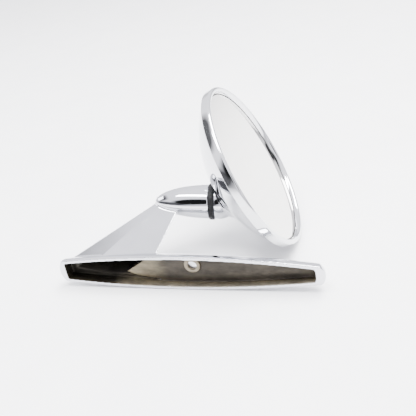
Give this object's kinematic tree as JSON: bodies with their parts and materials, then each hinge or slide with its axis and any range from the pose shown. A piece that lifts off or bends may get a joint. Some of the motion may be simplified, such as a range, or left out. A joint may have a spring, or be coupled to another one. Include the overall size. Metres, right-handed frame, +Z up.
{
  "type": "round-head exterior door mirror",
  "caption": "Round chromed door mirror on a long hollow cast base with a faceted arm; its head turns and tilts on a ball in the end of a round neck.",
  "frame": {"origin": "middle of the base's open rim, in the plane that lies on the car's panel", "axes": "+X along the base towards the side that the glass faces, +Y away from the panel, +Z up, across the base, towards the arm's raked front"},
  "size_m": [0.1637, 0.1119, 0.0995],
  "materials": {
    "chromed_casting": "polished chrome outside, raw die-cast metal inside the hollow",
    "bright_chrome": "polished chrome",
    "bezel_chrome": "polished chrome with fine rub marks",
    "stud_steel": "plain turned steel",
    "plated_steel": "zinc-plated pressed steel",
    "spring_steel": "dark oiled spring steel",
    "black_rubber": "matte moulded rubber",
    "nut_nylon": "moulded nylon",
    "seat_nylon": "moulded nylon",
    "mirror_face": "clean flat mirror glass",
    "silvering": "silver with a painted back",
    "foam_pad": "closed-cell foam"
  },
  "bodies": {
    "mount": {"base_casting": "chromed_casting", "pivot_stud": "stud_steel", "locating_pin": "stud_steel", "neck_gasket": "black_rubber", "pivot_ball": "bright_chrome", "spring_seat": "plated_steel", "disc_springs": "spring_steel", "flat_washer": "plated_steel", "lock_nut": "plated_steel", "nut_insert": "nut_nylon"},
    "cup": {"friction_cup": "plated_steel"},
    "seat": {"seat_ring": "seat_nylon"},
    "head": {"mouth_seal": "black_rubber", "socket_cup": "plated_steel", "back_shell": "bright_chrome", "bezel": "bezel_chrome", "glass_gasket": "black_rubber", "mirror_glass": "mirror_face", "silver_layer": "silvering", "backing_pad": "foam_pad", "backing_plate": "plated_steel"}
  },
  "joints": [
    {"name": "head_swing", "type": "hinge", "parent": "mount", "child": "cup", "pos_m": [0.0136, 0.0466, 0.0215], "axis": [0.1209, -0.0559, 0.9911], "range_deg": [-3, 10]},
    {"name": "head_tilt", "type": "hinge", "parent": "cup", "child": "seat", "pos_m": [0.0136, 0.0466, 0.0215], "axis": [0.1622, -0.9839, -0.0753], "range_deg": [-18, 0]},
    {"name": "head_turn", "type": "hinge", "parent": "seat", "child": "head", "pos_m": [0.0136, 0.0466, 0.0215], "axis": [0.9031, 0.1173, 0.4131], "range_deg": [-30, 30]}
  ]
}
